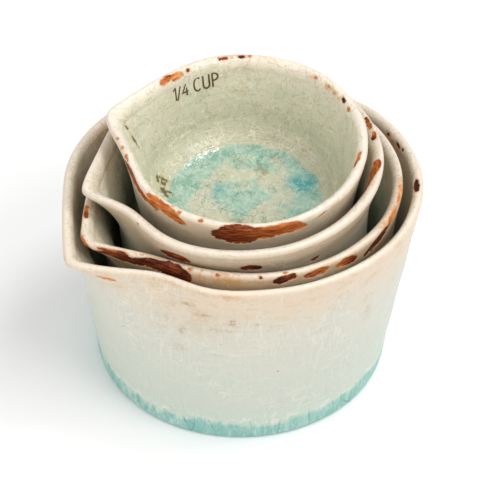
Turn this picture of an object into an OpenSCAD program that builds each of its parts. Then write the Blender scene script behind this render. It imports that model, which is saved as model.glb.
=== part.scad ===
// Measuring cup set: four nested stoneware cups, each with a pinched pour spout
// and a fired-on capacity mark inside its rim.
// Millimetres, +Z up. The origin is the centre of the largest cup's foot, on the table.
// +X is right, -Y is the front. The spouts point left.

/* [One cup] */
// Height from the table to the rim
one_height = 58; // [54:0.5:64]
// Radius of the foot
one_foot_r = 40; // [39.5:0.5:42]
// Mean radius of the rim, to the middle of the lip
one_rim_r = 44.6; // [44.5:0.1:47]

/* [Half cup] */
// Height from its own foot to the rim
half_height = 37; // [33:0.5:42]
// Radius of the foot
half_foot_r = 36.9; // [33:0.1:37]
// Mean radius of the rim, to the middle of the lip
half_rim_r = 38.8; // [38.7:0.1:40]

/* [Third cup] */
// Height from its own foot to the rim
third_height = 30.2; // [27:0.1:34]
// Radius of the foot
third_foot_r = 33.2; // [32:0.1:33.4]
// Mean radius of the rim, to the middle of the lip
third_rim_r = 36.3; // [35:0.1:36.4]

/* [Quarter cup] */
// Height from its own foot to the rim
quarter_height = 29.5; // [27:0.5:33]
// Radius of the foot
quarter_foot_r = 27.6; // [25:0.1:27.8]
// Mean radius of the rim, to the middle of the lip
quarter_rim_r = 30.9; // [29:0.1:31]

/* [Clay] */
// Wall thickness at the rim; the lip is a half round of this width
wall = 2.9; // [2:0.1:3]
// Height of the wall that each spout is pulled out of
spout_depth = 20; // [14:1:24]
// Depth of the hollow inside the foot ring
foot_hollow = 0.8; // [0.3:0.1:1.5]
// Width of the foot ring
foot_ring = 5; // [3:0.5:8]

/* [Capacity marks] */
// Height of the figures
mark_height = 4.2; // [3:0.1:5]
// Width of each stroke
mark_stroke = 0.45; // [0.3:0.05:0.7]
// How far the mark stands out of the wall
mark_raise = 0.15; // [0.1:0.05:0.3]

/* [Hidden] */

lip = wall / 2;
spout_fade = 2.4;       // how quickly a spout dies away below the rim
lift_spread = 20;       // degrees each side of the spout that its lift reaches
dent_spread = 14;       // degrees each side of a thumb dent's middle that it reaches
wall_fade = 1.2;        // how quickly the wall thickens toward the base
mark_sink = 0.3;        // how far a mark reaches into the wall
mark_step = 0.5;        // longest run of a stroke before it bends with the wall

segments = 80;          // facets around a cup
crowding = 0.45;        // 0 spaces them evenly, 1 puts them all at the spout
wall_steps = 8;         // rings up the outside, and up the inside
round_steps = 3;        // rings around the foot's edge and the inner corner
lip_steps = 5;          // rings over the lip

// Places in a cup's list of sizes.
HEIGHT = 0;
FOOT_R = 1;
RIM_R = 2;
OVAL = 3;               // how much wider than deep the rim is, as a share each way
SPOUT_AT = 4;           // direction of the spout, degrees from +X
SPOUT_HALF = 5;         // angle from the spout's point to where its sides leave the round
SPOUT_SOFT = 6;         // how rounded the point is, degrees
SPOUT_LIFT = 7;         // how far the point stands above the rim
DENT_AT = 8;            // direction of the thumb dent beside the spout, degrees from +X
DENT = 9;               // how far that dent goes in at the rim
EDGE_R = 10;            // rounding of the foot's outer edge
CORNER_R = 11;          // rounding where the inner wall meets the floor
BASE_WALL = 12;         // wall thickness at the base
FLOOR = 13;             // floor thickness
FLARE = 14;             // 1 is a straight wall, more flares it near the rim
LEAN = 15;              // how far the rim's centre is right of the foot's centre
PLACE = 16;             // foot's centre in the set
TILT = 17;              // degrees about X and Y

one_size = [one_height, one_foot_r, one_rim_r, 0.042, 215.5, 35.5, 2, 0, 238, 2.8,
            1.2, 6, 4.4, 5, 1.1, 0.65, [0, 0, 0], [0, 0]];
half_size = [half_height, half_foot_r, half_rim_r, 0.03, 211.4, 38.5, 3, 0, 229, 1.5,
             1.5, 4, 3.2, 4.5, 1.1, 0, [1.6, -0.6, 22.9], [0, 0]];
third_size = [third_height, third_foot_r, third_rim_r, -0.01, 196.5, 34.5, 3, -0.2, 213, 2.2,
              2.5, 3, 3.2, 4.5, 2.6, 0, [0.8, 0, 36.6], [0.7, -1.15]];
quarter_size = [quarter_height, quarter_foot_r, quarter_rim_r, -0.003, 166.6, 37, 5, 0.4, 187, 0.5,
                3, 7, 3, 3.9, 1.1, 0, [1, 2.3, 43.3], [4.87, 0.46]];

clay = [0.85, 0.82, 0.74];
ink = [0.25, 0.16, 0.1];

// ---- the surface of a cup, in polar form about its own foot ----

// Angle from one direction to another, -180 to 180.
function turn_from(at, a) = let (turn = a - at) turn - 360 * round(turn / 360);

// Share by which the spout pushes the rim outwards: two tangents meeting in a soft point.
function spout_gain(cup, a) =
    let (away = norm([turn_from(cup[SPOUT_AT], a), cup[SPOUT_SOFT]]))
    1 / cos(max(0, cup[SPOUT_HALF] - away)) - 1;

// How far the thumb dent beside the spout pushes the rim inwards.
function dent_in(cup, a) = cup[DENT] * exp(-pow(turn_from(cup[DENT_AT], a) / dent_spread, 2));

// How much of the spout and its dent is left at a height z.
function spout_share(cup, z) =
    pow(max(0, 1 - max(0, cup[HEIGHT] - lip - z) / spout_depth), spout_fade);

// Height z as a share of the way up to the lip.
function rise(cup, z) = min(1, max(0, z / (cup[HEIGHT] - lip)));

// How far a quarter round of radius r stands in from its side, at a height h above its start.
function inset(r, h) = let (left = max(0, r - h)) r - sqrt(r * r - left * left);

function outer_r(cup, a, z) =
    let (rim = cup[RIM_R] * (1 + cup[OVAL] * cos(2 * a)) + lip)
    cup[FOOT_R] + (rim - cup[FOOT_R]) * pow(rise(cup, z), cup[FLARE])
        + (cup[RIM_R] * spout_gain(cup, a) - dent_in(cup, a)) * spout_share(cup, z)
        - inset(cup[EDGE_R], z);

function wall_at(cup, z) = wall + (cup[BASE_WALL] - wall) * pow(1 - rise(cup, z), wall_fade);

function inner_r(cup, a, z) =
    outer_r(cup, a, z) - wall_at(cup, z) - inset(cup[CORNER_R], z - cup[FLOOR]);

function lift(cup, a, z) =
    cup[SPOUT_LIFT] * exp(-pow(turn_from(cup[SPOUT_AT], a) / lift_spread, 2)) * spout_share(cup, z);

// A point at radius r, angle a and height z, with the cup's lean and the spout's lift.
function clay_point(cup, r, a, z) =
    [r * cos(a) + cup[LEAN] * rise(cup, z), r * sin(a), z + lift(cup, a, z)];

// The section at angle a, from the middle of the underside round to the middle of the floor.
function section(cup, a) =
    let (top = cup[HEIGHT] - lip,
         edge = cup[EDGE_R],
         corner = cup[CORNER_R],
         ring_r = cup[FOOT_R] - edge - foot_ring,
         inner_start = cup[FLOOR] + corner)
    concat(
        [[ring_r - foot_hollow, foot_hollow], [ring_r, 0]],
        [for (i = [0 : round_steps - 1])
            let (z = edge * (1 - cos(90 * i / round_steps))) [outer_r(cup, a, z), z]],
        [for (i = [0 : wall_steps])
            let (z = edge + (top - edge) * (1 - pow(1 - i / wall_steps, 1.4))) [outer_r(cup, a, z), z]],
        [for (i = [1 : lip_steps])
            let (turn = 180 * i / (lip_steps + 1))
            [outer_r(cup, a, top) - lip + lip * cos(turn), top + lip * sin(turn)]],
        [for (i = [0 : wall_steps - 1])
            let (z = inner_start + (top - inner_start) * pow(1 - i / wall_steps, 1.4))
            [inner_r(cup, a, z), z]],
        [for (i = [round_steps : -1 : 0])
            let (z = cup[FLOOR] + corner * (1 - cos(90 * i / round_steps)))
            [inner_r(cup, a, z), z]]);

// Facet angles, crowded toward the spout.
function facet_angle(cup, i) =
    let (even = 360 * i / segments)
    cup[SPOUT_AT] + even - crowding * sin(even) * 180 / PI;

// ---- pieces ----

module in_place(cup) {
    translate(cup[PLACE])
        rotate([cup[TILT][0], cup[TILT][1], 0])
            children();
}

// One fired clay piece: rings of points joined into a closed skin.
module clay_cup(cup) {
    sections = [for (i = [0 : segments - 1]) section(cup, facet_angle(cup, i))];
    rings = len(sections[0]);
    skin = [for (i = [0 : segments - 1], p = sections[i])
        clay_point(cup, p[0], facet_angle(cup, i), p[1])];
    underside = segments * rings;
    points = concat(skin, [[0, 0, foot_hollow], [0, 0, cup[FLOOR]]]);
    sides = [for (i = [0 : segments - 1], j = [0 : rings - 2])
        let (a = i * rings + j, b = ((i + 1) % segments) * rings + j)
        each [[a, a + 1, b + 1], [a, b + 1, b]]];
    ends = [for (i = [0 : segments - 1])
        let (a = i * rings, b = ((i + 1) % segments) * rings)
        each [[underside, a, b], [a + rings - 1, underside + 1, b + rings - 1]]];
    polyhedron(points, concat(sides, ends), convexity = 6);
}

// Part of a circle as stroke points, in shares of the figure height.
function bend(x, y, r, from, to, stretch = 1) =
    let (steps = max(2, round(abs(to - from) / 30)))
    [for (i = [0 : steps])
        let (turn = from + (to - from) * i / steps) [x + r * cos(turn), y + r * stretch * sin(turn)]];

// Strokes of each figure: lists of [across, up], in shares of the figure height.
STROKES_1 = [[[0, 0.78], [0.2, 1], [0.2, 0]]];
STROKES_2 = [concat(bend(0.21, 0.76, 0.21, 170, -30, 1.15), [[0, 0]]), [[0, 0], [0.43, 0]]];
STROKES_3 = [bend(0.2, 0.76, 0.2, 150, -80, 1.2), bend(0.2, 0.27, 0.22, 80, -150, 1.2)];
STROKES_4 = [[[0.32, 1], [0, 0.3], [0.44, 0.3]], [[0.32, 0.6], [0.32, 0]]];
STROKES_SLASH = [[[0, -0.06], [0.3, 1.06]]];
STROKES_C = [bend(0.26, 0.5, 0.26, 50, 310, 1.92)];
STROKES_U = [concat([[0, 1]], bend(0.21, 0.26, 0.21, 180, 360, 1.24), [[0.42, 1]])];
STROKES_P = [[[0, 0], [0, 1]], concat([[0, 1]], bend(0.14, 0.74, 0.24, 90, -90, 1.08), [[0, 0.48]])];

// Figures set in a row: [strokes, distance from the start of the mark].
CUP_WORD = [[STROKES_C, 0], [STROKES_U, 0.66], [STROKES_P, 1.3]];
function after(figures, gap) = [for (f = figures) [f[0], f[1] + gap]];
ONE_MARK = concat([[STROKES_1, 0]], after(CUP_WORD, 0.6));
HALF_MARK = concat([[STROKES_1, 0], [STROKES_SLASH, 0.32], [STROKES_2, 0.78]], after(CUP_WORD, 1.6));
THIRD_MARK = concat([[STROKES_1, 0], [STROKES_SLASH, 0.32], [STROKES_3, 0.78]], after(CUP_WORD, 1.6));
QUARTER_MARK = concat([[STROKES_1, 0], [STROKES_SLASH, 0.32], [STROKES_4, 0.74]], after(CUP_WORD, 1.6));

// Cuts a run of stroke points into short steps.
function short_steps(run) =
    concat([for (i = [0 : len(run) - 2])
        let (steps = ceil(norm(run[i + 1] - run[i]) / mark_step))
        each [for (j = [0 : steps - 1]) run[i] + (run[i + 1] - run[i]) * j / steps]],
        [run[len(run) - 1]]);

function unit(v) = v / norm(v);

// Direction across a stroke at its point i, lengthened to keep the width at a bend.
function across(run, i) =
    let (last = len(run) - 1,
         before = unit(run[max(1, i)] - run[max(1, i) - 1]),
         beyond = unit(run[min(last - 1, i) + 1] - run[min(last - 1, i)]),
         middle = unit(before + beyond))
    [-middle[1], middle[0]] / max(0.5, middle * before);

// A flat mark point [x, y], d deep in the wall, set on the inside of the cup.
// x runs rightwards as read from inside, y runs up from the foot line of the figures.
function mark_point(cup, at, p, base_z, d) =
    let (z = base_z + p[1],
         a = at - p[0] / inner_r(cup, at, z) * 180 / PI)
    clay_point(cup, inner_r(cup, a, z) + d, a, z);

// One stroke: a thin curved bar, part sunk in the wall.
module stroke(cup, run, at, base_z) {
    half_w = mark_stroke / 2;
    last = len(run) - 1;
    points = [for (i = [0 : last])
        let (side = across(run, i) * half_w)
        each [mark_point(cup, at, run[i] + side, base_z, mark_sink),
              mark_point(cup, at, run[i] - side, base_z, mark_sink),
              mark_point(cup, at, run[i] - side, base_z, -mark_raise),
              mark_point(cup, at, run[i] + side, base_z, -mark_raise)]];
    sides = [for (i = [0 : last - 1], j = [0 : 3])
        let (a = 4 * i + j, b = 4 * i + (j + 1) % 4)
        each [[a, b, b + 4], [a, b + 4, a + 4]]];
    ends = [[3, 2, 1, 0], [4 * last, 4 * last + 1, 4 * last + 2, 4 * last + 3]];
    polyhedron(points, concat(sides, ends), convexity = 4);
}

// A whole mark, centred on the direction at, its figures top_gap below the rim.
module capacity_mark(cup, figures, at, top_gap) {
    width = (figures[len(figures) - 1][1] + 0.4) * mark_height;
    base_z = cup[HEIGHT] - top_gap - mark_height;
    for (figure = figures, run = figure[0]) {
        flat = [for (p = run) [(p[0] + figure[1]) * mark_height - width / 2, p[1] * mark_height]];
        stroke(cup, short_steps(flat), at, base_z);
    }
}

mark_at = 118.5;        // direction of each mark, degrees from +X
mark_gap = 4;           // from the rim down to the figures

module one_cup() {
    color(clay) in_place(one_size) clay_cup(one_size);
}

module half_cup() {
    color(clay) in_place(half_size) clay_cup(half_size);
}

module third_cup() {
    color(clay) in_place(third_size) clay_cup(third_size);
}

module quarter_cup() {
    color(clay) in_place(quarter_size) clay_cup(quarter_size);
}

module one_cup_mark() {
    color(ink) in_place(one_size) capacity_mark(one_size, ONE_MARK, mark_at, mark_gap);
}

module half_cup_mark() {
    color(ink) in_place(half_size) capacity_mark(half_size, HALF_MARK, mark_at, mark_gap);
}

module third_cup_mark() {
    color(ink) in_place(third_size) capacity_mark(third_size, THIRD_MARK, mark_at, mark_gap);
}

module quarter_cup_mark() {
    color(ink) in_place(quarter_size) capacity_mark(quarter_size, QUARTER_MARK, mark_at, mark_gap);
}

one_cup();
one_cup_mark();
half_cup();
half_cup_mark();
third_cup();
third_cup_mark();
quarter_cup();
quarter_cup_mark();
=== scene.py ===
"""Looks for the nested stoneware measuring cups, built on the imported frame."""

import math

import bpy
import numpy as np
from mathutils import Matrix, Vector


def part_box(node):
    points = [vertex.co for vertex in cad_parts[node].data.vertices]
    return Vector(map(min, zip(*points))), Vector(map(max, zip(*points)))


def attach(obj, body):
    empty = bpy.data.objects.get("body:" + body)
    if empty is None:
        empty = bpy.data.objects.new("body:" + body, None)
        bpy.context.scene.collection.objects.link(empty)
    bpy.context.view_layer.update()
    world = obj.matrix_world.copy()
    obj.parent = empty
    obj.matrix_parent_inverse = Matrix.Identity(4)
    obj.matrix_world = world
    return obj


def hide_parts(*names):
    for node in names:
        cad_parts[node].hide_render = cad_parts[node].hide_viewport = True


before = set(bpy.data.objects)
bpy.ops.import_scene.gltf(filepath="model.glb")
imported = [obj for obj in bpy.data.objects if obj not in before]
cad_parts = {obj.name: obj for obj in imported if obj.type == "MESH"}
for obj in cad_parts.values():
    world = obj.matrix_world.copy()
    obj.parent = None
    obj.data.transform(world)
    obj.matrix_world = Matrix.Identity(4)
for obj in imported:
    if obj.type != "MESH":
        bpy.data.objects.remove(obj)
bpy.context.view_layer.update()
MM = 0.001

# ---------------------------------------------------------------- sizes, as in the part's source, in mm

LIP = 1.45
WALL = 2 * LIP
SPOUT_DEPTH = 20.0
SPOUT_FADE = 2.4
WALL_FADE = 1.2
DENT_SPREAD = 14.0
HOLLOW = 0.8
RING = 5.0
INSET = 0.09  # keeps the smooth skin inside the faceted one
TOP_INSET = 0.03  # the same at the top of the lip
POOL_DEPTH = 2.6  # how far up from the floor the pooled glaze reaches, fading out

# Handmade unevenness, the most it cuts inwards or downwards.
RIM_DROP = 0.7
RIM_PULL = 0.45
WALL_DENT = 0.38
CHIP_CUT = 0.28

AROUND = 448
FAR = 6.0  # the chip field's value away from any chip, mm

# crest is how far the lip's top stands in from the outside, roll how far its inner rounding reaches down.
CUPS = {
    "one_cup": dict(
        height=58.0, foot=40.0, rim=44.6, oval=0.042, spout=215.5, half=35.5, soft=2.0, lift=0.0,
        dent_at=238.0, dent=2.8, edge=1.2, corner=6.0, base=4.4, floor=5.0, flare=1.1, lean=0.65,
        place=(0.0, 0.0, 0.0), tilt=(0.0, 0.0), crest=1.15, roll=2.6,
    ),
    "half_cup": dict(
        height=37.0, foot=36.9, rim=38.8, oval=0.03, spout=211.4, half=38.5, soft=3.0, lift=0.0,
        dent_at=229.0, dent=1.5, edge=1.5, corner=4.0, base=3.2, floor=4.5, flare=1.1, lean=0.0,
        place=(1.6, -0.6, 22.9), tilt=(0.0, 0.0), crest=0.85, roll=2.8,
    ),
    "third_cup": dict(
        height=30.2, foot=33.2, rim=36.3, oval=-0.01, spout=196.5, half=34.5, soft=3.0, lift=-0.2,
        dent_at=213.0, dent=2.2, edge=2.5, corner=3.0, base=3.2, floor=4.5, flare=2.6, lean=0.0,
        place=(0.8, 0.0, 36.6), tilt=(0.7, -1.15), crest=0.85, roll=3.2,
    ),
    "quarter_cup": dict(
        height=29.5, foot=27.6, rim=30.9, oval=-0.003, spout=166.6, half=37.0, soft=5.0, lift=0.4,
        dent_at=187.0, dent=0.5, edge=3.0, corner=7.0, base=3.0, floor=3.9, flare=1.1, lean=0.0,
        place=(1.0, 2.3, 43.3), tilt=(4.87, 0.46), crest=0.95, roll=4.0,
    ),
}

# Chips, as strokes: (colour at the start, colour at the end, points), where 0 is dark brown and 1 orange.
# A point is (direction deg, depth over the skin from the lip's crest mm, half width mm).
# Depth is positive down the outside, negative down the inside.
CHIPS = {
    "quarter_cup": [
        (0.15, 0.95, [(255, 5.0, 0.4), (259, 4.4, 2.1), (264, 3.9, 3.5), (269, 3.7, 3.4), (273, 3.2, 2.2),
                      (279, 3.0, 2.0), (288, 2.4, 1.7), (293, 2.7, 1.7), (297, 3.8, 0.8)]),
        (0.4, 0.7, [(193, 2.8, 0.6), (198, 2.7, 1.3), (204, 2.9, 1.6), (209, 3.3, 1.5), (214, 3.7, 1.4),
                    (219, 3.8, 1.1), (223, 3.5, 1.0)]),
        (1.0, 0.65, [(219, 0.9, 0.5), (223, 1.2, 1.1), (227, 1.6, 1.5), (231, 2.0, 1.7), (235, 2.7, 1.6),
                     (238, 3.5, 1.1), (240, 3.9, 0.6)]),
        (0.1, 0.1, [(223, 5.8, 0.45)]),
        (1.0, 1.0, [(181, 0.3, 0.35)]),
        (1.3, 1.3, [(187, 0.6, 0.45)]),
        (1.4, 1.3, [(192, 0.6, 0.5), (195, 0.9, 0.5)]),
        (0.3, 0.4, [(186, 2.6, 0.3), (190, 3.6, 0.4)]),
        (1.3, 1.3, [(233, -0.6, 0.35)]),
        (1.3, 1.3, [(238, 0.3, 0.4)]),
        (1.1, 1.0, [(249, 0.6, 0.5)]),
        (0.9, 1.1, [(306, 2.7, 0.3), (309, 2.1, 0.3)]),
        (0.9, 1.1, [(341, -2.0, 0.2), (346, -1.5, 0.5), (350, -1.2, 0.3)]),
        (0.05, 0.1, [(31, -1.2, 0.4), (29, -1.6, 0.5)]),
        (1.4, 1.4, [(23, -1.9, 0.5)]),
        (1.0, 1.2, [(51, -1.7, 0.4)]),
        (1.2, 1.2, [(42, -1.9, 0.4)]),
        (1.2, 1.2, [(37, -2.2, 0.35)]),
        (0.25, 0.4, [(103, -0.8, 0.3), (100, -0.7, 0.35)]),
        (0.3, 0.3, [(93, -0.4, 0.4), (91, -0.5, 0.4)]),
        (0.9, 0.9, [(88, -0.2, 0.4)]),
        (1.2, 0.5, [(137, -1.5, 0.5), (134, -1.2, 0.6), (132, -1.0, 0.4)]),
        (1.1, 1.3, [(130, -1.7, 0.8), (126, -1.8, 0.75)]),
        (0.1, 0.1, [(121, -1.6, 0.65)]),
    ],
    "third_cup": [
        (0.3, 0.7, [(22.5, -0.4, 0.2), (20, -0.6, 0.55), (17, -0.9, 0.35)]),
        (0.9, 0.2, [(13, -0.4, 0.4), (10, -1.0, 0.8)]),
        (0.8, 0.6, [(355, -0.9, 0.4), (353, -1.3, 1.1), (350, -2.0, 1.3), (346, -2.6, 1.1), (342, -2.8, 0.8),
                    (338, -3.0, 0.5), (334, -3.0, 0.3)]),
        (0.6, 0.7, [(342, 2.8, 0.4), (338, 3.6, 0.65), (334, 4.4, 0.6)]),
        (0.35, 0.45, [(235, 7.6, 0.5), (238, 7.2, 1.2), (242, 6.8, 1.5), (245, 6.8, 1.4), (247, 7.2, 0.7)]),
        (0.3, 0.0, [(270.5, 7.6, 0.5), (273, 7.0, 0.9), (276, 7.5, 0.8)]),
        (0.3, 0.4, [(300, 10.8, 0.5), (303, 10.6, 0.8)]),
        (1.1, 1.1, [(300, 4.6, 0.22), (304, 5.2, 0.22)]),
        (0.9, 0.9, [(223, 1.4, 0.3)]),
        (0.3, 0.5, [(58, 2.4, 0.6), (62, 2.0, 1.2), (67, 2.6, 0.9)]),
        (0.7, 0.7, [(84, 1.2, 0.5), (87, 1.0, 0.7)]),
        (0.2, 0.6, [(145, 3.8, 0.7), (150, 3.4, 1.3), (156, 3.8, 0.6)]),
    ],
    "half_cup": [
        (0.4, 0.25, [(216, 4.2, 0.8), (218, 3.3, 1.8), (220, 3.0, 2.1), (222, 2.8, 2.0), (224, 3.2, 1.4)]),
        (0.1, 0.3, [(224.5, 3.9, 0.9), (227.5, 3.2, 1.3), (230, 2.5, 1.3), (233, 2.3, 1.5), (236, 2.5, 1.8),
                    (239, 2.8, 2.4), (242, 3.1, 2.6), (244.5, 3.5, 2.2), (246, 4.0, 1.4), (247, 4.4, 0.5)]),
        (0.8, 0.8, [(216, 0.8, 0.3), (218.5, 0.8, 0.3)]),
        (0.9, 1.0, [(209, 1.2, 0.5), (211, 1.6, 0.9), (213, 2.3, 0.7), (215, 3.4, 0.4)]),
        (0.9, 0.5, [(196, 0.2, 0.2), (198.5, -0.1, 0.6), (201, -0.6, 0.3)]),
        (1.3, 1.2, [(201, 1.2, 0.25), (205, 1.3, 0.25)]),
        (1.3, 1.3, [(248, 0.5, 0.35)]),
        (0.9, 0.9, [(259, 0.9, 0.45)]),
        (0.3, 0.3, [(275, 0.8, 0.35)]),
        (1.3, 1.3, [(284.5, 0.3, 0.5)]),
        (0.05, 0.15, [(281, 2.5, 0.6), (284, 2.1, 1.0), (287, 1.6, 0.8)]),
        (0.6, 0.9, [(293, 2.6, 0.5), (296, 2.6, 0.9), (299, 2.4, 1.0), (301, 2.1, 0.4)]),
        (1.0, 0.3, [(306.5, 2.8, 0.5), (309, 2.7, 1.0), (311.5, 3.0, 1.1), (314, 3.5, 0.5)]),
        (0.1, 0.2, [(320, 5.2, 0.4), (324, 4.3, 1.1), (328, 3.5, 1.3), (332, 2.8, 1.0), (334, 2.6, 0.5)]),
        (1.0, 1.3, [(336, 1.6, 0.7), (339, 1.2, 0.5), (342, 1.0, 0.3)]),
        (1.3, 1.3, [(354, 0.3, 0.3), (349, 0.8, 0.35), (345, 1.0, 0.3)]),
        (0.2, 0.4, [(74, 2.2, 0.6), (80, 2.0, 1.4), (86, 2.4, 1.0)]),
        (0.6, 0.5, [(108, 3.0, 0.6), (112, 2.6, 0.9)]),
    ],
    "one_cup": [
        (0.05, 0.05, [(0, -0.8, 0.4), (357.5, -0.9, 0.7), (355, -0.8, 0.45)]),
        (1.3, 1.3, [(222, 5.4, 0.35), (224, 5.1, 0.5), (226, 5.0, 0.3)]),
        (0.4, 0.4, [(27, -2.6, 0.5)]),
        (0.2, 0.2, [(21, -2.4, 0.55), (19.5, -2.6, 0.5)]),
        (0.3, 0.3, [(17, -1.9, 0.5)]),
        (0.3, 0.5, [(64, 1.8, 0.6), (69, 1.5, 1.2), (74, 2.0, 1.0)]),
        (0.6, 0.7, [(94, 2.4, 0.5), (98, 2.2, 0.9)]),
        (1.2, 1.2, [(128, 1.0, 0.6)]),
        (0.1, 0.4, [(143, 3.4, 0.6), (148, 3.0, 1.3), (153, 3.4, 0.7)]),
    ],
}

# The noise on a chip's edge eats into it, so a stroke of more than two points is drawn this much wider.
CHIP_GROW = 1.12
CHIP_EXTRA = 0.2

# Rust and iron stains: (direction deg, depth mm, half length mm, half height mm, strength)
STAINS = {
    "quarter_cup": [
        (44, -2.0, 9.0, 1.0, 0.9),
        (96, -0.4, 11.0, 0.8, 0.9),
        (114, -0.5, 6.0, 0.6, 0.7),
        (88, -4.0, 9.0, 3.0, 0.25),
        (130, -1.6, 6.0, 1.4, 0.7),
        (72, -25.0, 3.0, 1.4, 0.5),
        (166.5, -7.8, 0.4, 2.6, 2.8),
        (167.5, -11.6, 0.45, 2.8, 3.0),
        (167, -9.0, 2.8, 4.6, 0.6),
        (164, -28.2, 1.6, 2.4, 2.8),
        (172, -30.2, 1.7, 2.4, 2.8),
        (168, -29.2, 3.8, 3.8, 0.6),
        (183, 0.6, 4.0, 1.0, 0.3),
        (265, 3.5, 12.0, 4.0, 0.2),
    ],
    "third_cup": [(250, 7.0, 12.0, 2.0, 0.4), (345, -1.4, 9.0, 1.6, 0.6), (16, -0.8, 6.0, 1.4, 0.7)],
    "half_cup": [
        (237, 0.6, 8.0, 0.7, 0.9),
        (252, 2.6, 26.0, 2.6, 1.1),
        (300, 2.0, 16.0, 2.0, 0.6),
        (251, 0.4, 6.0, 0.8, 0.9),
        (262, 0.4, 6.0, 0.6, 0.7),
        (268, 2.4, 7.0, 1.4, 0.5),
        (338, 0.6, 8.0, 1.5, 1.6),
        (352, 0.5, 7.0, 1.1, 1.2),
        (210, 0.8, 4.0, 1.0, 1.2),
        (203, 0.6, 5.0, 0.8, 0.9),
        (222, 0.3, 10.0, 0.5, 1.0),
        (232, 0.2, 8.0, 0.45, 1.0),
        (190, -0.3, 6.0, 0.5, 0.7),
    ],
    "one_cup": [
        (247, 1.4, 10.0, 0.8, 0.4),
        (262, 1.6, 7.0, 0.7, 0.8),
        (268, 2.4, 6.0, 0.7, 0.5),
        (251, 6.5, 2.6, 0.9, 1.0),
        (245, 8.0, 1.2, 1.2, 0.9),
        (256, 9.5, 3.0, 0.8, 0.9),
        (266, 11.5, 1.8, 1.6, 1.1),
        (262, 15.0, 6.0, 0.9, 0.8),
        (275, 12.0, 1.0, 0.8, 0.9),
        (249, 17.0, 1.3, 1.6, 1.0),
        (243, 13.5, 1.4, 1.0, 0.7),
        (247, 24.0, 2.4, 1.6, 0.8),
        (253, 12.0, 14.0, 9.0, 0.24),
        (318, 21.0, 1.6, 3.0, 0.6),
        (316, 15.0, 1.0, 1.4, 0.6),
        (352, -4.0, 5.0, 3.0, 0.45),
        (348, -3.6, 5.0, 1.0, 1.3),
        (24, -3.0, 6.0, 1.4, 0.8),
        (22, -3.5, 6.0, 3.0, 0.45),
        (152, -7.0, 10.0, 6.0, 0.7),
        (178, -8.0, 6.0, 6.0, 0.6),
    ],
}

# Deeper blue spots in the pooled glaze: (right mm, back mm, radius mm, strength), from the floor's middle.
SPOTS = {
    "quarter_cup": [(15.3, 7.2, 3.9, 1.3), (-7.0, 5.4, 2.6, 0.8), (11.0, -1.5, 3.0, 0.4)],
    "third_cup": [(-8.0, 6.0, 3.5, 0.7), (10.0, -7.0, 3.0, 0.6)],
    "half_cup": [(5.0, 12.0, 4.0, 0.8), (-12.0, -3.0, 3.0, 0.6)],
    "one_cup": [(9.0, -8.0, 4.5, 0.8), (-10.0, 6.0, 3.0, 0.6)],
}


# ---------------------------------------------------------------- the skin of a cup

def turn_from(at, a):
    turn = a - at
    return turn - 360.0 * np.round(turn / 360.0)


def rise(c, z):
    return np.clip(z / (c["height"] - LIP), 0.0, 1.0)


def inset(r, h):
    left = np.clip(r - h, 0.0, r)
    return r - np.sqrt(r * r - left * left)


def share(c, z):
    return np.clip(1.0 - np.maximum(0.0, c["height"] - LIP - z) / SPOUT_DEPTH, 0.0, 1.0) ** SPOUT_FADE


def outer_r(c, a, z):
    away = np.hypot(turn_from(c["spout"], a), c["soft"])
    gain = 1.0 / np.cos(np.radians(np.maximum(0.0, c["half"] - away))) - 1.0
    dent = c["dent"] * np.exp(-((turn_from(c["dent_at"], a) / DENT_SPREAD) ** 2))
    rim = c["rim"] * (1.0 + c["oval"] * np.cos(np.radians(2.0 * a))) + LIP
    return (
        c["foot"] + (rim - c["foot"]) * rise(c, z) ** c["flare"]
        + (c["rim"] * gain - dent) * share(c, z) - inset(c["edge"], z)
    )


def wall_at(c, z):
    return WALL + (c["base"] - WALL) * (1.0 - rise(c, z)) ** WALL_FADE


def inner_r(c, a, z):
    return outer_r(c, a, z) - wall_at(c, z) - inset(c["corner"], z - c["floor"])


def ease(steps, power):
    return 1.0 - (1.0 - np.linspace(0.0, 1.0, steps)) ** power


def rows(c, fine):
    """(kind, value) of each ring from the middle of the underside round to the middle of the floor."""
    top = c["height"] - LIP
    out = [("under", r) for r in np.linspace(0.04, 0.985, int(12 * fine))]
    out += [("ring", t) for t in np.linspace(0.0, 1.0, 4)]
    out += [("outer", z) for z in c["edge"] * (1.0 - np.cos(np.radians(np.linspace(0, 80, 6))))]
    out += [("outer", c["edge"] + (top - c["edge"]) * t) for t in ease(int(62 * fine), 1.5)]
    out += [("lip", t) for t in np.linspace(0.0, 90.0, int(9 * fine) + 2)[1:]]
    out += [("roll", t) for t in np.linspace(0.0, 90.0, int(14 * fine) + 2)[1:-1]]
    low, high = c["floor"] + c["corner"], c["height"] - c["roll"]
    out += [("inner", low + (high - low) * t) for t in ease(int(50 * fine), 1.5)[::-1]]
    turns = np.linspace(1.5, 0.06, int(2 * (4 + c["corner"]) * fine))
    out += [("inner", c["floor"] + c["corner"] * (1.0 - math.cos(t))) for t in turns]
    out += [("floor", t) for t in np.linspace(0.985, 0.03, int(26 * fine))]
    return out


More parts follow.
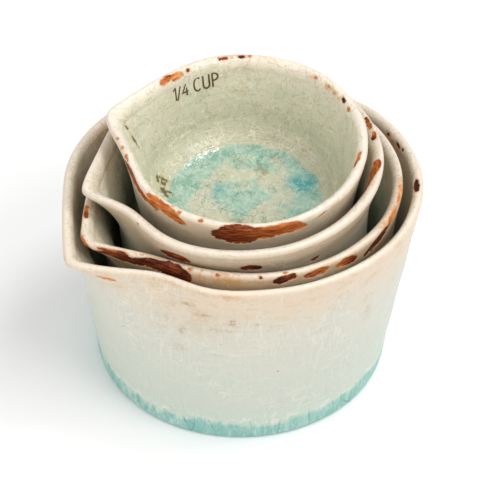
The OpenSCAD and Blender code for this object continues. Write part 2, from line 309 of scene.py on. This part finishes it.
def ring_points(c, kind, value, a):
    """(radius, height) around one ring."""
    top = c["height"] - LIP
    flat = c["foot"] - c["edge"] - RING
    if kind == "under":
        r = np.full_like(a, (flat - HOLLOW) * value)
        return r, np.full_like(a, HOLLOW)
    if kind == "ring":
        r = flat - HOLLOW * (1 - value) * 0.9
        return np.full_like(a, r), np.full_like(a, HOLLOW * (1 - value) ** 1.6)
    if kind == "outer":
        return outer_r(c, a, value) - INSET, np.full_like(a, value)
    if kind == "lip":
        turn = math.radians(value)
        edge = outer_r(c, a, top) - INSET
        height = top + (LIP - TOP_INSET) * math.sin(turn)
        return edge - c["crest"] * (1.0 - math.cos(turn)), np.full_like(a, height)
    if kind == "roll":
        turn = math.radians(value)
        crest = outer_r(c, a, top) - INSET - c["crest"]
        foot = inner_r(c, a, c["height"] - c["roll"])
        drop = c["roll"] * (1.0 - math.cos(turn))
        return crest - (crest - foot) * math.sin(turn), np.full_like(a, c["height"] - TOP_INSET - drop)
    if kind == "inner":
        return inner_r(c, a, value), np.full_like(a, value)
    r = inner_r(c, a, c["floor"] + c["corner"] * (1.0 - math.cos(0.06)))
    return r * value, np.full_like(a, c["floor"])


def soft_wave(a, seed, lowest, highest):
    """A smooth closed wave round the cup, between 0 and 1."""
    rng = np.random.default_rng(seed)
    total = np.zeros_like(a)
    weight = 0.0
    for k in range(lowest, highest + 1):
        w = 1.0 / k
        total += w * np.sin(np.radians(k * a) + rng.uniform(0, 2 * math.pi))
        weight += w
    return np.clip(0.5 + total / (1.6 * weight), 0.0, 1.0)


def stroke_field(A, R, along, points):
    """Signed distance, mm, to a stroke's edge, negative inside, and how far along the stroke, 0 to 1."""
    best = np.full(R.shape, 50.0)
    part = np.zeros(R.shape)
    pairs = list(zip(points[:-1], points[1:])) or [(points[0], points[0])]
    for k, ((a0, d0, h0), (a1, d1, h1)) in enumerate(pairs):
        x = np.radians(turn_from(a0, A)) * R
        y = along - d0
        ex, ey = np.radians(turn_from(a0, a1)) * R, d1 - d0
        t = np.clip((x * ex + y * ey) / (ex * ex + ey * ey + 1e-9), 0.0, 1.0)
        d = np.hypot(x - t * ex, y - t * ey) - (h0 + (h1 - h0) * t)
        part = np.where(d < best, (k + t) / len(pairs), part)
        best = np.minimum(best, d)
    return best, part


def build_cup(name, c, seed):
    fine = 1.0
    around = AROUND
    even = np.arange(around) * 360.0 / around
    a = c["spout"] + even - 0.35 * np.degrees(np.sin(np.radians(even)))
    ring_list = rows(c, fine)
    R, Z = [], []
    for kind, value in ring_list:
        r, z = ring_points(c, kind, float(value), a)
        R.append(r)
        Z.append(z)
    R, Z = np.array(R), np.array(Z)
    kinds = np.array([k for k, _ in ring_list])
    top = c["height"] - LIP

    # distance over the skin from the lip's crest, positive outside
    lip_rows = np.where(kinds == "lip")[0]
    crest = lip_rows[-1]
    step = np.hypot(np.diff(R, axis=0), np.diff(Z, axis=0))
    along = np.concatenate([np.zeros((1, around)), np.cumsum(step, axis=0)])
    along = along[crest] - along
    A = np.broadcast_to(a, R.shape)

    # chips and stains, as fields
    chip = np.full(R.shape, FAR)
    burn = np.zeros(R.shape)
    weight = np.full(R.shape, 1e-6)
    arc_r = np.maximum(R, 5.0)
    for start, finish, points in CHIPS[name]:
        if len(points) > 2:
            points = [(at, depth, half * CHIP_GROW + CHIP_EXTRA) for at, depth, half in points]
        d, part = stroke_field(A, arc_r, along, points)
        chip = np.minimum(chip, d)
        near = np.exp(-np.maximum(d, -0.5) * 2.5)
        burn += near * (start + (finish - start) * part)
        weight += near
    burn /= weight
    stain = np.zeros(R.shape)
    for at, depth, half_a, half_s, power in STAINS[name]:
        across = np.radians(turn_from(at, A)) * arc_r
        q = (across / half_a) ** 2 + ((along - depth) / half_s) ** 2
        stain = np.maximum(stain, power * np.exp(-1.4 * q))

    # handmade unevenness, inwards and downwards only
    up = rise(c, Z)
    near_rim = np.clip((up - 0.55) / 0.45, 0.0, 1.0) ** 1.5
    drop = RIM_DROP * soft_wave(a, seed, 3, 12)[None, :] * near_rim
    pull = RIM_PULL * soft_wave(a, seed + 7, 4, 16)[None, :] * near_rim
    outside = np.isin(kinds, ["outer"])[:, None]
    ripple = soft_wave(a + 25.0, seed + 3, 4, 11)[None, :] * (0.5 + 0.5 * np.sin(Z * 0.35 + seed))
    dent = np.where(outside, WALL_DENT * ripple, 0.0)
    dent = dent * np.clip(Z / 8.0, 0, 1) * np.clip((top - Z) / 8.0, 0, 1)
    worn = CHIP_CUT * np.clip((0.25 - chip) / 0.7, 0.0, 1.0)

    Rf = R - pull - dent
    Zf = Z - drop + c["lift"] * np.exp(-((turn_from(c["spout"], a) / 20.0) ** 2))[None, :] * share(c, Z)
    rad = np.radians(A)
    X = Rf * np.cos(rad) + c["lean"] * up
    Y = Rf * np.sin(rad)
    P = np.stack([X, Y, Zf], axis=-1)

    # wear cuts along the skin's inward direction
    dr = np.gradient(R, axis=0)
    dz = np.gradient(Z, axis=0)
    length = np.hypot(dr, dz) + 1e-9
    nr, nz = dz / length, -dr / length
    P[..., 0] -= worn * nr * np.cos(rad)
    P[..., 1] -= worn * nr * np.sin(rad)
    P[..., 2] -= worn * nz

    rings = len(ring_list)
    skin = P.reshape(-1, 3)
    ends = np.array([[0.0, 0.0, HOLLOW], [0.0, 0.0, c["floor"]]])
    verts = np.concatenate([skin, ends])
    tx, ty = (math.radians(t) for t in c["tilt"])
    about_x = np.array([[1, 0, 0], [0, math.cos(tx), -math.sin(tx)], [0, math.sin(tx), math.cos(tx)]])
    about_y = np.array([[math.cos(ty), 0, math.sin(ty)], [0, 1, 0], [-math.sin(ty), 0, math.cos(ty)]])
    verts = verts @ (about_y @ about_x).T + np.array(c["place"])

    idx = np.arange(rings * around).reshape(rings, around)
    nxt = np.roll(idx, -1, axis=1)
    quads = np.stack([idx[:-1], nxt[:-1], nxt[1:], idx[1:]], axis=-1).reshape(-1, 4)
    low, high = rings * around, rings * around + 1
    fans = np.concatenate([
        np.stack([np.full(around, low), nxt[0], idx[0]], axis=-1),
        np.stack([np.full(around, high), idx[-1], nxt[-1]], axis=-1),
    ])
    mesh = bpy.data.meshes.new(name + "_skin")
    mesh.from_pydata((verts * MM).tolist(), [], quads.tolist() + fans.tolist())
    mesh.shade_smooth()
    mesh.update()

    def field(label, values, end_values):
        layer = mesh.attributes.new(label, "FLOAT", "POINT")
        flat = np.asarray(values, dtype=np.float32).reshape(-1)
        layer.data.foreach_set("value", np.concatenate([flat, np.array(end_values, dtype=np.float32)]))

    field("chip", chip, [FAR, FAR])
    field("burn", burn, [0, 0])
    field("stain", stain, [0, 0])
    field("along", along, [along[0].mean() + 5, along[-1].mean() - 1])
    field("up", Z, [0, c["floor"]])
    inner = np.isin(kinds, ["roll", "inner", "floor"])[:, None] & np.ones(R.shape, bool)
    above = np.clip(Z - c["floor"], 0.0, None)
    pool = np.where(inner, np.clip(1.0 - above / POOL_DEPTH, 0.0, 1.0), 0.0)
    field("pool", pool, [0, 1])
    field("plan", np.where(inner, R, 60.0), [60, 0])
    spot = np.zeros(R.shape)
    for right, back, radius, power in SPOTS[name]:
        q = ((R * np.cos(rad) - right) ** 2 + (R * np.sin(rad) - back) ** 2) / radius ** 2
        spot = np.maximum(spot, power * np.exp(-q) * (pool > 0.1))
    field("spot", spot, [0, 0])
    bare = np.isin(kinds, ["under", "ring"])[:, None] & np.ones(R.shape, bool)
    field("bare", bare.astype(float), [1, 0])

    obj = bpy.data.objects.new(name + "_body", mesh)
    bpy.context.scene.collection.objects.link(obj)
    return obj


# ---------------------------------------------------------------- materials

class Graph:
    """Short names for building a node tree."""

    def __init__(self, name):
        self.mat = bpy.data.materials.new(name)
        self.mat.use_nodes = True
        self.tree = self.mat.node_tree
        self.tree.nodes.clear()
        self.out = self.tree.nodes.new("ShaderNodeOutputMaterial")
        self.bsdf = self.tree.nodes.new("ShaderNodeBsdfPrincipled")
        self.tree.links.new(self.bsdf.outputs[0], self.out.inputs[0])

    def put(self, value, socket):
        if isinstance(value, bpy.types.NodeSocket):
            self.tree.links.new(value, socket)
        elif isinstance(value, (tuple, list)) and len(value) == 3 and socket.type == "RGBA":
            socket.default_value = (*value, 1.0)
        else:
            socket.default_value = value

    def math(self, op, a, b=0.0, clamp=False):
        n = self.tree.nodes.new("ShaderNodeMath")
        n.operation = op
        n.use_clamp = clamp
        self.put(a, n.inputs[0])
        self.put(b, n.inputs[1])
        return n.outputs[0]

    def add(self, a, b):
        return self.math("ADD", a, b)

    def mul(self, a, b):
        return self.math("MULTIPLY", a, b)

    def sub(self, a, b):
        return self.math("SUBTRACT", a, b)

    def attr(self, name):
        n = self.tree.nodes.new("ShaderNodeAttribute")
        n.attribute_name = name
        return n.outputs["Fac"]

    def place(self, scale=(1.0, 1.0, 1.0), offset=(0.0, 0.0, 0.0)):
        """Object coordinates in mm, stretched."""
        if not hasattr(self, "coords"):
            self.coords = self.tree.nodes.new("ShaderNodeTexCoord").outputs["Object"]
        n = self.tree.nodes.new("ShaderNodeMapping")
        self.put(self.coords, n.inputs[0])
        n.inputs["Location"].default_value = offset
        n.inputs["Scale"].default_value = tuple(s * 1000.0 for s in scale)
        return n.outputs[0]

    def noise(self, size, detail=3.0, rough=0.55, stretch=(1, 1, 1), seed=0.0, warp=None):
        """Noise with blotches about size mm across, 0 to 1."""
        n = self.tree.nodes.new("ShaderNodeTexNoise")
        v = self.place(tuple(s / size for s in stretch), (seed, seed * 1.7, -seed))
        if warp is not None:
            v = self.warped(v, warp)
        self.put(v, n.inputs["Vector"])
        n.inputs["Scale"].default_value = 1.0
        n.inputs["Detail"].default_value = detail
        n.inputs["Roughness"].default_value = rough
        return n.outputs["Fac"]

    def warped(self, v, amount):
        n = self.tree.nodes.new("ShaderNodeTexNoise")
        self.put(v, n.inputs["Vector"])
        n.inputs["Scale"].default_value = 0.9
        n.inputs["Detail"].default_value = 2.0
        sub = self.tree.nodes.new("ShaderNodeVectorMath")
        sub.operation = "SUBTRACT"
        self.put(n.outputs["Color"], sub.inputs[0])
        sub.inputs[1].default_value = (0.5, 0.5, 0.5)
        mul = self.tree.nodes.new("ShaderNodeVectorMath")
        mul.operation = "MULTIPLY_ADD"
        self.put(sub.outputs[0], mul.inputs[0])
        mul.inputs[1].default_value = (amount, amount, amount)
        self.put(v, mul.inputs[2])
        return mul.outputs[0]

    def cracks(self, size, stretch=(1, 1, 1), warp=0.8, seed=0.0):
        """Distance to the nearest crack of a net with cells about size mm, in cell widths."""
        n = self.tree.nodes.new("ShaderNodeTexVoronoi")
        n.feature = "DISTANCE_TO_EDGE"
        v = self.warped(self.place(tuple(s / size for s in stretch), (seed, -seed, seed)), warp)
        self.put(v, n.inputs["Vector"])
        n.inputs["Scale"].default_value = 1.0
        n.inputs["Randomness"].default_value = 1.0
        return n.outputs["Distance"]

    def specks(self, size, seed=0.0):
        """Distance to the nearest of scattered points, in cell widths, and the cell's own number."""
        n = self.tree.nodes.new("ShaderNodeTexVoronoi")
        self.put(self.place((1 / size,) * 3, (seed, seed, seed)), n.inputs["Vector"])
        n.inputs["Scale"].default_value = 1.0
        return n.outputs["Distance"], self.grey(n.outputs["Color"])

    def grey(self, colour):
        n = self.tree.nodes.new("ShaderNodeSeparateColor")
        self.put(colour, n.inputs[0])
        return n.outputs[0]

    def ramp(self, value, low, high, to_low=0.0):
        """A soft step from to_low at low to 1 at high; high may be the smaller."""
        n = self.tree.nodes.new("ShaderNodeMapRange")
        n.interpolation_type = "SMOOTHSTEP"
        n.clamp = True
        self.put(value, n.inputs["Value"])
        n.inputs["From Min"].default_value = low
        n.inputs["From Max"].default_value = high
        n.inputs["To Min"].default_value = to_low
        n.inputs["To Max"].default_value = 1.0
        return n.outputs["Result"]

    def mix(self, share, a, b):
        n = self.tree.nodes.new("ShaderNodeMix")
        n.data_type = "RGBA"
        self.put(share, n.inputs[0])
        self.put(a, n.inputs[6])
        self.put(b, n.inputs[7])
        return n.outputs[2]

    def blend(self, share, a, b):
        n = self.tree.nodes.new("ShaderNodeMix")
        n.data_type = "FLOAT"
        self.put(share, n.inputs[0])
        self.put(a, n.inputs[2])
        self.put(b, n.inputs[3])
        return n.outputs[0]

    def bump(self, height, distance, strength=1.0, normal=None):
        n = self.tree.nodes.new("ShaderNodeBump")
        n.inputs["Strength"].default_value = strength
        n.inputs["Distance"].default_value = distance
        self.put(height, n.inputs["Height"])
        if normal is not None:
            self.put(normal, n.inputs["Normal"])
        return n.outputs[0]


def srgb(code):
    """Linear colour from a hex code."""
    parts = [int(code[i:i + 2], 16) / 255.0 for i in (0, 2, 4)]
    return tuple(p / 12.92 if p <= 0.04045 else ((p + 0.055) / 1.055) ** 2.4 for p in parts)


def thin_lines(g, pattern, width):
    """1 along the middle contour of a pattern, 0 away from it."""
    return g.ramp(g.math("ABSOLUTE", g.sub(pattern, 0.5)), width, 0.0)


def outside_glaze(g, along, up, uneven, seed, look):
    """Pinkish cream at the top, pale grey-green below, aqua where the glaze ran to the foot."""
    foot_top = look["foot_top"]
    fall = g.add(along, g.mul(uneven, 30.0))
    colour = g.mix(g.ramp(fall, 1.0, 20.0), srgb("D4C2AB"), srgb("C8C5B7"))
    colour = g.mix(g.ramp(fall, 16.0, 40.0), colour, srgb("BFC4B8"))
    tan = g.noise(2.4, 4.0, 0.6, stretch=(0.5, 0.5, 1.0), seed=seed + 40)
    high = g.ramp(fall, 26.0, 2.0)
    colour = g.mix(g.mul(g.mul(g.ramp(tan, 0.52, 0.68), high), 0.45), colour, srgb("C4A67C"))
    # Painted shade, partly a brown tone: the band just below the rim darkens and browns where the cup sits
    # in the next one, fading out 7 to 15 mm down.
    outer_rim_shade_and_tone = g.mul(g.add(g.ramp(along, 0.4, 2.6), g.ramp(along, 2.0, 8.0)), look["outer_rim_shade_and_tone"])
    outer_rim_shade_and_tone = g.mul(outer_rim_shade_and_tone, g.ramp(along, 15.0, 7.0))
    colour = g.mix(outer_rim_shade_and_tone, colour, g.mix(tan, srgb("8C7350"), srgb("A08558")))
    runs = g.noise(3.2, 3.0, stretch=(1, 1, 0.12), seed=seed + 8)
    ragged = g.noise(2.0, 4.0, 0.6, seed=seed + 9)
    climb = g.add(up, g.mul(g.sub(runs, 0.5), -foot_top * 0.7))
    climb = g.add(climb, g.mul(uneven, foot_top * 1.6))
    climb = g.add(climb, g.mul(g.sub(ragged, 0.5), 2.2))
    band = g.ramp(climb, foot_top, foot_top * 0.66)
    streak = g.noise(1.5, 3.0, 0.6, stretch=(1, 1, 0.2), seed=seed + 10)
    aqua = g.mix(g.ramp(runs, 0.35, 0.65), srgb("94BEB3"), srgb("70ABA3"))
    aqua = g.mix(g.mul(g.ramp(climb, foot_top * 0.5, 0.0), 0.6), aqua, srgb("6CB3AC"))
    aqua = g.mix(g.mul(g.ramp(streak, 0.5, 0.68), 0.5), aqua, srgb("5FA69C"))
    aqua = g.mix(g.mul(g.ramp(streak, 0.45, 0.3), 0.4), aqua, srgb("B9D6CA"))
    off_edge = g.math("ABSOLUTE", g.sub(climb, foot_top * 1.08))
    pale = g.mul(g.ramp(off_edge, 0.9, 0.1), g.ramp(ragged, 0.45, 0.6))
    colour = g.mix(g.mul(g.ramp(climb, foot_top * 2.2, foot_top), 0.35), colour, srgb("B4C9BB"))
    colour = g.mix(g.mul(pale, 0.4), colour, srgb("E4E4D4"))
    return g.mix(g.mul(band, 0.92), colour, aqua), climb


def inside_glaze(g, along, uneven, mid, seed, look):
    """Beige at the lip, grey-green on the wall, with faint tan clouds."""
    depth = g.add(g.mul(along, -1.0), g.mul(uneven, 14.0))
    colour = g.mix(g.ramp(depth, 0.0, 10.0), srgb("E4DAC7"), srgb("D5D0B9"))
    colour = g.mix(g.ramp(depth, 8.0, 26.0), colour, srgb("C2C1A8"))
    colour = g.mix(g.mul(g.ramp(mid, 0.54, 0.72), 0.4), colour, srgb("C9B88E"))
    # Painted shade, partly a brown tone: browner and darker near the rim inside, where the next cup sits and
    # shades the wall.
    colour = g.mix(g.mul(g.ramp(depth, 14.0, 1.0), look["inner_rim_shade_and_tone"]), colour, srgb("A88A62"))
    green = g.noise(7.0, 2.0, seed=seed + 44)
    return g.mix(g.mul(g.ramp(green, 0.5, 0.7), 0.35), colour, srgb("B3B99F"))


def pool_glaze(g, small, seed):
    """Aqua glass with beige clouds, clearer at its edge, and deep turquoise spots."""
    plan, spot = g.attr("plan"), g.attr("spot")
    colour = g.mix(g.ramp(small, 0.3, 0.7), srgb("97B8A8"), srgb("AFC6B5"))
    deep = g.noise(4.0, 3.0, 0.6, seed=seed + 13)
    colour = g.mix(g.mul(g.ramp(deep, 0.48, 0.62), 0.8), colour, srgb("7DA793"))
    cloud = g.add(plan, g.mul(g.sub(g.noise(7.0, 3.0, 0.55, seed=seed + 12), 0.5), 22.0))
    beige = g.mul(g.ramp(cloud, 4.5, 8.5), g.ramp(cloud, 17.0, 12.0))
    colour = g.mix(g.mul(beige, 0.85), colour, srgb("C9C3A9"))
    olive = g.noise(5.0, 3.0, 0.6, seed=seed + 15)
    colour = g.mix(g.mul(g.ramp(olive, 0.58, 0.70), 0.6), colour, srgb("85866A"))
    breaks = g.ramp(g.add(g.mul(small, 0.5), g.mul(deep, 0.5)), 0.36, 0.56, 0.35)
    blue = g.math("MULTIPLY", spot, breaks, clamp=True)
    return g.mix(g.mul(blue, 0.9), colour, srgb("3D9A9E"))


def glaze(name, seed, **look):
    """Crackled cream glaze over stoneware.

    look holds foot_top, how far the aqua climbs the outside in mm, recess, how brown and dark the outside is
    near the rim, and dust, the same inside; both are painted shade where the cups nest, partly a brown tone
    of the glaze.
    """
    g = Graph(name)
    along, up = g.attr("along"), g.attr("up")
    chip, burn, stain = g.attr("chip"), g.attr("burn"), g.attr("stain")
    pool, bare, plan = g.attr("pool"), g.attr("bare"), g.attr("plan")
    outside = g.ramp(along, -0.6, 0.8)
    big = g.noise(16.0, 2.0, seed=seed)
    mid = g.noise(4.5, 4.0, seed=seed + 3)
    small = g.noise(1.1, 4.0, 0.6, seed=seed + 5)
    uneven = g.sub(g.add(g.mul(big, 0.6), g.mul(mid, 0.4)), 0.5)

    outer, climb = outside_glaze(g, along, up, uneven, seed, look)
    inner = inside_glaze(g, along, uneven, mid, seed, look)
    colour = g.mix(outside, inner, outer)
    crest = g.mul(g.ramp(g.math("ABSOLUTE", g.add(along, 0.2)), 1.7, 0.3), 0.6)
    colour = g.mix(crest, colour, srgb("E7DBCE"))
    wet = g.ramp(g.add(pool, g.mul(g.sub(mid, 0.5), 0.6)), 0.64, 0.88)
    colour = g.mix(wet, colour, pool_glaze(g, small, seed))

    # craze lines: a net of pale lines and a finer one of dark lines, straighter and squarer outside
    inside_wall = g.mul(g.sub(1.0, outside), g.sub(1.0, wet))
    broken = g.ramp(mid, 0.38, 0.58)
    long_net = g.cracks(3.6, warp=1.3, seed=seed)
    long_pale = g.mul(g.ramp(long_net, 0.045, 0.01), g.add(0.3, g.mul(broken, 0.7)))
    lean_pale = thin_lines(g, g.noise(4.0, 1.0, stretch=(0.45, 1, 1), seed=seed + 2, warp=0.5), 0.012)
    pale = g.math("MAXIMUM", long_pale, g.mul(lean_pale, broken))
    dark_up = thin_lines(g, g.noise(3.0, 2.0, stretch=(1, 1, 0.35), seed=seed + 17, warp=0.4), 0.012)
    dark_along = thin_lines(g, g.noise(3.2, 2.0, stretch=(0.4, 0.4, 1), seed=seed + 18, warp=0.4), 0.012)
    dark = g.math("MAXIMUM", dark_up, dark_along)
    colour = g.mix(g.mul(g.mul(dark, inside_wall), 0.38), colour, srgb("8A8762"))
    colour = g.mix(g.mul(g.mul(pale, inside_wall), 0.55), colour, srgb("F1EBD5"))
    turning = g.math("SINE", g.add(g.mul(plan, 7.6), g.mul(mid, 9.0)))
    rings = g.mul(g.ramp(turning, 0.6, 0.98), g.mul(g.ramp(up, 13.0, 8.0), inside_wall))
    colour = g.mix(g.mul(g.mul(rings, broken), 0.32), colour, srgb("E9E5D0"))

    down = thin_lines(g, g.noise(2.3, 1.0, stretch=(1, 1, 0.16), seed=seed + 31, warp=0.2), 0.022)
    over = thin_lines(g, g.noise(2.3, 1.0, stretch=(0.16, 0.16, 1), seed=seed + 33, warp=0.2), 0.022)
    skew = g.mul(g.ramp(g.cracks(2.6, stretch=(1, 1, 0.8), warp=0.7, seed=seed + 35), 0.05, 0.0), broken)
    weave = g.math("MAXIMUM", g.math("MAXIMUM", down, over), skew)
    dark_down = thin_lines(g, g.noise(1.9, 1.0, stretch=(1, 1, 0.22), seed=seed + 37, warp=0.2), 0.020)
    dark_over = thin_lines(g, g.noise(1.9, 1.0, stretch=(0.22, 0.22, 1), seed=seed + 39, warp=0.2), 0.020)
    weave_dark = g.math("MAXIMUM", dark_down, dark_over)
    wall = g.mul(outside, g.add(0.35, g.mul(g.ramp(big, 0.4, 0.6), 0.65)))
    colour = g.mix(g.mul(g.mul(weave_dark, wall), 0.24), colour, srgb("9CA28C"))
    colour = g.mix(g.mul(g.mul(weave, wall), 0.22), colour, srgb("F0EBDD"))

    pool_net = g.cracks(2.1, warp=1.7, seed=seed + 4)
    pool_pale = g.mul(g.ramp(g.cracks(3.4, warp=1.9, seed=seed + 14), 0.07, 0.0), wet)
    pool_line = g.mul(g.ramp(pool_net, 0.06, 0.0), wet)
    patchy = g.ramp(g.noise(6.0, 2.0, seed=seed + 16), 0.42, 0.6)
    colour = g.mix(g.mul(g.mul(pool_line, patchy), 0.6), colour, srgb("3F7468"))
    colour = g.mix(g.mul(pool_pale, 0.30), colour, srgb("D8E8DA"))
    foot_net = g.cracks(6.0, stretch=(1, 1, 0.22), warp=0.7, seed=seed + 6)
    low = g.mul(g.ramp(climb, look["foot_top"] * 1.15, look["foot_top"] * 0.8), outside)
    foot_line = g.mul(g.mul(g.ramp(foot_net, 0.024, 0.0), low), g.add(0.3, g.mul(broken, 0.7)))
    colour = g.mix(g.mul(foot_line, 0.8), colour, srgb("3E8F8D"))
    foot_pale = thin_lines(g, g.noise(3.2, 2.0, stretch=(1, 1, 0.4), seed=seed + 19, warp=0.4), 0.018)
    colour = g.mix(g.mul(g.mul(foot_pale, low), 0.4), colour, srgb("D4E6DC"))

    # iron: stains, specks
    rust_noise = g.ramp(g.add(g.mul(small, 0.6), g.mul(mid, 0.4)), 0.44, 0.57)
    rust = g.math("MULTIPLY", stain, g.add(0.18, g.mul(rust_noise, 1.0)), clamp=True)
    near_lip = g.ramp(along, -7.0, -3.0)
    rust_colour = g.mix(small, srgb("AE7232"), srgb("D0A062"))
    rust_colour = g.mix(g.ramp(along, 3.0, 7.0), rust_colour, g.mix(small, srgb("8F7550"), srgb("B69A72")))
    colour = g.mix(g.mul(rust, 0.85), colour, g.mix(near_lip, srgb("A2986A"), rust_colour))
    char = g.mul(g.ramp(g.mul(stain, g.ramp(small, 0.42, 0.56)), 0.6, 1.1), g.sub(1.0, near_lip))
    colour = g.mix(g.mul(char, 0.85), colour, srgb("564A2C"))
    dist, own = g.specks(5.0, seed)
    dot = g.mul(g.ramp(dist, 0.075, 0.03), g.ramp(own, 0.80, 0.84))
    colour = g.mix(g.mul(dot, 0.7), colour, srgb("7A4A26"))

    # chips down to the clay, streaked along the rim, with scorched and orange edges
    edge_noise = g.add(g.mul(g.sub(small, 0.5), 1.3), g.mul(g.sub(mid, 0.5), 1.0))
    grain = g.noise(0.9, 4.0, 0.65, stretch=(0.28, 0.28, 1.7), seed=seed + 21)
    cut = g.add(chip, g.add(edge_noise, g.mul(g.sub(grain, 0.5), 0.9)))
    hole = g.ramp(cut, 0.05, -0.06)
    halo = g.mul(g.ramp(cut, 0.6, 0.0), 0.55)
    colour = g.mix(halo, colour, srgb("C9986A"))
    tone = g.add(burn, g.mul(g.sub(grain, 0.5), 2.6))
    clay = g.mix(g.ramp(tone, 0.0, 0.45), srgb("43190D"), srgb("833A18"))
    clay = g.mix(g.ramp(tone, 0.4, 0.9), clay, srgb("C06A2C"))
    clay = g.mix(g.ramp(tone, 0.9, 1.4), clay, srgb("DB9050"))
    clay = g.mix(g.ramp(tone, 1.3, 1.9), clay, srgb("DDB084"))
    scorch = g.mul(g.ramp(cut, -0.30, -0.02), g.ramp(mid, 0.5, 0.6))
    clay = g.mix(g.mul(scorch, 0.45), clay, srgb("3A170B"))
    colour = g.mix(hole, colour, clay)
    foot_clay = g.mix(small, srgb("A58A6C"), srgb("C2A988"))
    colour = g.mix(bare, colour, foot_clay)

    rough = g.blend(g.ramp(pool, 0.0, 0.3), g.blend(outside, 0.30, 0.40), 0.07)
    rough = g.add(rough, g.mul(g.sub(mid, 0.5), 0.10))
    rough = g.blend(hole, rough, 0.62)
    rough = g.blend(bare, rough, 0.85)

    swell = g.bump(g.add(mid, g.mul(big, 0.5)), 0.0005, 0.6)
    skin = g.bump(small, 0.00007, 0.6, swell)
    wall_line = g.mul(g.math("MAXIMUM", dark, pale), inside_wall)
    lines = g.math("MAXIMUM", wall_line, g.math("MAXIMUM", pool_line, foot_line))
    crackle = g.bump(g.mul(lines, -1.0), 0.00006, 0.8, skin)
    step = g.bump(g.mul(g.ramp(cut, 0.22, -0.15), -1.0), 0.00030, 1.0, crackle)
    clay_grain = g.bump(g.mul(grain, hole), 0.00030, 0.8, step)

    g.put(colour, g.bsdf.inputs["Base Color"])
    g.put(rough, g.bsdf.inputs["Roughness"])
    g.put(clay_grain, g.bsdf.inputs["Normal"])
    g.bsdf.inputs["IOR"].default_value = 1.5
    g.put(g.blend(hole, 0.5, 0.2), g.bsdf.inputs["Specular IOR Level"])
    return g.mat


def fired_colour(name, seed):
    """Thin dark brown marking colour, worn through in places."""
    g = Graph(name)
    small = g.noise(0.5, 4.0, 0.6, seed=seed)
    colour = g.mix(g.ramp(small, 0.35, 0.75), srgb("40301A"), srgb("7A6238"))
    g.put(colour, g.bsdf.inputs["Base Color"])
    g.put(g.add(0.32, g.mul(small, 0.2)), g.bsdf.inputs["Roughness"])
    g.put(g.bump(small, 0.00003), g.bsdf.inputs["Normal"])
    return g.mat


# The last two numbers paint shade near the rim, partly as a brown tone: outside where a cup sits in the next
# one, inside where the next one sits in it.
LOOKS = {
    "one_cup": dict(seed=3.0, foot_top=6.5, outer_rim_shade_and_tone=0.0, inner_rim_shade_and_tone=0.22),
    "half_cup": dict(seed=14.0, foot_top=7.0, outer_rim_shade_and_tone=0.36, inner_rim_shade_and_tone=0.26),
    "third_cup": dict(seed=25.0, foot_top=6.5, outer_rim_shade_and_tone=0.28, inner_rim_shade_and_tone=0.2),
    "quarter_cup": dict(seed=36.0, foot_top=6.0, outer_rim_shade_and_tone=0.1, inner_rim_shade_and_tone=0.0),
}

for order, (name, c) in enumerate(CUPS.items()):
    body = build_cup(name, c, 11 + 5 * order)
    body.data.materials.append(glaze(name + "_glaze", **LOOKS[name]))
    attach(body, name)
    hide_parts(name)
    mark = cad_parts[name + "_mark"]
    ink = fired_colour(name + "_mark_colour", 5.0 + order)
    mark.data.materials.clear()
    mark.data.materials.append(ink)

# ---------------------------------------------------------------- floor, light, camera

FLOOR_HALF = 4.0
WORLD_LIGHT = 0.62
ELEVATION = math.radians(43.0)
DISTANCE = 0.650
AIM = Vector((-0.00021, 0.0, 0.03566))
LENS_MM = 180.375
SENSOR_MM = 36.0

floor_mesh = bpy.data.meshes.new("floor")
corners = [(x * FLOOR_HALF, y * FLOOR_HALF, 0.0) for x, y in ((-1, -1), (1, -1), (1, 1), (-1, 1))]
floor_mesh.from_pydata(corners, [], [(0, 1, 2, 3)])
floor = bpy.data.objects.new("floor", floor_mesh)
bpy.context.scene.collection.objects.link(floor)
g = Graph("pale_floor")
tone = g.mix(g.noise(60.0, 2.0), (0.92, 0.92, 0.92), (0.95, 0.95, 0.95))
g.put(tone, g.bsdf.inputs["Base Color"])
g.bsdf.inputs["Roughness"].default_value = 0.9
g.bsdf.inputs["Specular IOR Level"].default_value = 0.1
floor_mesh.materials.append(g.mat)

scene = bpy.context.scene
world = bpy.data.worlds.new("studio")
scene.world = world
world.use_nodes = True
world.node_tree.nodes["Background"].inputs[0].default_value = (1.0, 1.0, 1.0, 1.0)
world.node_tree.nodes["Background"].inputs[1].default_value = WORLD_LIGHT


def soft_light(name, place, aim, size, power):
    data = bpy.data.lights.new(name, "AREA")
    data.shape = "RECTANGLE"
    data.size, data.size_y = size
    data.energy = power
    light = bpy.data.objects.new(name, data)
    light.location = place
    light.rotation_euler = (Vector(aim) - Vector(place)).to_track_quat("-Z", "Y").to_euler()
    scene.collection.objects.link(light)


_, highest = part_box("one_cup")
top = Vector((0.0, 0.0, highest[2]))
soft_light("key", (0.42, -0.30, 0.55), top, (0.40, 0.40), 2.3)
soft_light("overhead", (0.20, 0.06, 0.61), top, (0.26, 0.10), 1.25)
soft_light("fill", (-0.45, -0.35, 0.30), top, (0.50, 0.40), 1.3)

data = bpy.data.cameras.new("camera")
data.lens = LENS_MM
data.sensor_width = SENSOR_MM
data.clip_start, data.clip_end = 0.05, 20.0
camera = bpy.data.objects.new("camera", data)
camera.location = AIM + DISTANCE * Vector((0.0, -math.cos(ELEVATION), math.sin(ELEVATION)))
camera.rotation_euler = (math.pi / 2 - ELEVATION, 0.0, 0.0)
scene.collection.objects.link(camera)
scene.camera = camera
scene.view_settings.view_transform = "Standard"
